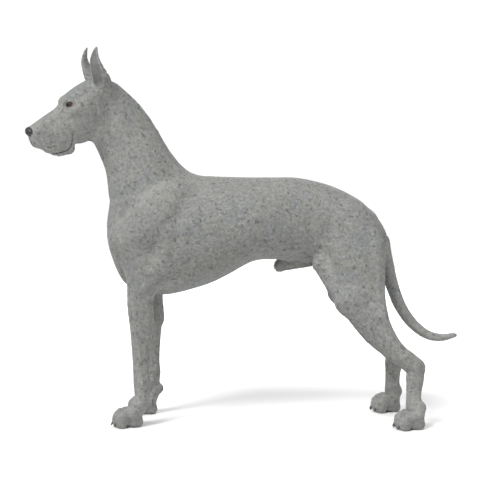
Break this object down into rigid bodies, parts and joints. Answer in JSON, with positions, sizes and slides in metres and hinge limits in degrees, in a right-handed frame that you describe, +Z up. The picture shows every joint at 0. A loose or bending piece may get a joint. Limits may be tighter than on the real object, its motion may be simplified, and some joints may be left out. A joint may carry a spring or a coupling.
{
  "type": "great dane model",
  "caption": "Life-size still model of a standing great dane with erect ears, a long low tail and a short mottled steel-grey coat, resting on the flats of its paws.",
  "frame": {"origin": "middle of the box that holds the model, at floor level", "axes": "+Z up; the dog faces -X; its left side is -Y"},
  "size_m": [1.4578, 0.3622, 1.2801],
  "materials": {
    "coat": "short fur, matt",
    "nose": "damp, pebbled",
    "eye": "wet gloss",
    "claw": "horn, satin"
  },
  "bodies": {
    "root": {"head": "coat", "ear_left": "coat", "ear_right": "coat", "neck": "coat", "torso": "coat", "sheath": "coat", "thigh_left": "coat", "thigh_right": "coat", "shank_left": "coat", "shank_right": "coat", "metatarsus_left": "coat", "metatarsus_right": "coat", "forearm_left": "coat", "forearm_right": "coat", "pastern_left": "coat", "pastern_right": "coat", "tail_root": "coat", "tail_middle": "coat", "tail_tip": "coat", "paw_fore_left": "coat", "paw_fore_right": "coat", "paw_hind_left": "coat", "paw_hind_right": "coat", "nose": "nose", "eye_left": "eye", "eye_right": "eye", "claw_fore_left_1": "claw", "claw_fore_left_2": "claw", "claw_fore_left_3": "claw", "claw_fore_left_4": "claw", "claw_fore_right_1": "claw", "claw_fore_right_2": "claw", "claw_fore_right_3": "claw", "claw_fore_right_4": "claw", "claw_hind_left_1": "claw", "claw_hind_left_2": "claw", "claw_hind_left_3": "claw", "claw_hind_left_4": "claw", "claw_hind_right_1": "claw", "claw_hind_right_2": "claw", "claw_hind_right_3": "claw", "claw_hind_right_4": "claw", "claw_dew_left": "claw", "claw_dew_right": "claw"}
  },
  "joints": []
}
